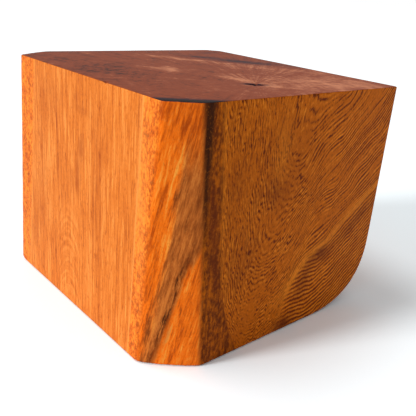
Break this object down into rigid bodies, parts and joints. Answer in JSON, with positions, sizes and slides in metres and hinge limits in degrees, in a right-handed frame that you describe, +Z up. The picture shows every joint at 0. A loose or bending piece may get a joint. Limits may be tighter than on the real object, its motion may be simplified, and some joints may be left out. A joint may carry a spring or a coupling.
{
  "type": "wood block",
  "caption": "Squared block of oiled hardwood with end grain on top, log wane at its corners and a curved lower back edge.",
  "frame": {"origin": "middle of the block's bounding box on the surface it rests on", "axes": "+Z up along the grain, +X to the right along the front face, +Y from the front face to the back"},
  "size_m": [0.119, 0.117, 0.1],
  "materials": {
    "wood": "sanded and oiled reddish hardwood, satin"
  },
  "bodies": {
    "root": {"wood_block": "wood"}
  },
  "joints": []
}
